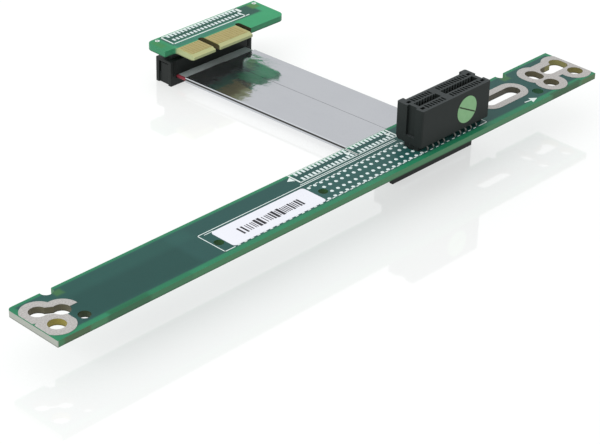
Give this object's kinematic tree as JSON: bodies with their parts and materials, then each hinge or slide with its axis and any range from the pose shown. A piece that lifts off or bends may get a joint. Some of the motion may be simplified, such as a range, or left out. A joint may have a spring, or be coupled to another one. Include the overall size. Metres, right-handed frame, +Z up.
{
  "type": "pcie riser card",
  "caption": "Long narrow slot board with a card edge connector, joined by a flat ribbon cable to a small plug card with a keyed gold-fingered tongue.",
  "frame": {"origin": "centre of the bounding box in plan, on the plane the two cable sockets stand on", "axes": "+X along the slot board towards its connector end, +Y from the slot board to the plug card, +Z up, the way a card leaves the slot"},
  "size_m": [0.179, 0.0926, 0.0237],
  "materials": {
    "board": "green solder mask on glass-fibre board",
    "tin": "dull tinned copper",
    "gold": "gold-plated copper",
    "spring": "plated spring contacts",
    "black_plastic": "moulded black plastic",
    "sticker_paper": "pale green sticker",
    "label_paper": "white label",
    "ribbon_grey": "grey insulated wires",
    "ribbon_red": "dark red first wire",
    "film": "silver shielding film"
  },
  "bodies": {
    "root": {"main_board": "board", "ground_lands": "tin", "open_footprint_pads": "tin", "header_pads_long": "tin", "header_pads_short": "tin", "slot_housing": "black_plastic", "slot_contacts_front": "spring", "slot_contacts_rear": "spring", "slot_tail_tips": "tin", "slot_sticker": "sticker_paper", "product_label": "label_paper", "main_pin_header": "black_plastic", "main_header_pins": "spring", "main_socket_body": "black_plastic", "main_socket_cover": "black_plastic", "main_socket_contacts": "spring", "ribbon_cable": "ribbon_grey", "pin_one_wire": "ribbon_red", "ribbon_wrap": "film", "plug_board": "board", "gold_fingers_top": "gold", "gold_fingers_bottom": "gold", "plug_header_pads": "tin", "plug_pin_header": "black_plastic", "plug_header_pins": "spring", "plug_socket_body": "black_plastic", "plug_socket_cover": "black_plastic", "plug_socket_contacts": "spring"}
  },
  "joints": []
}
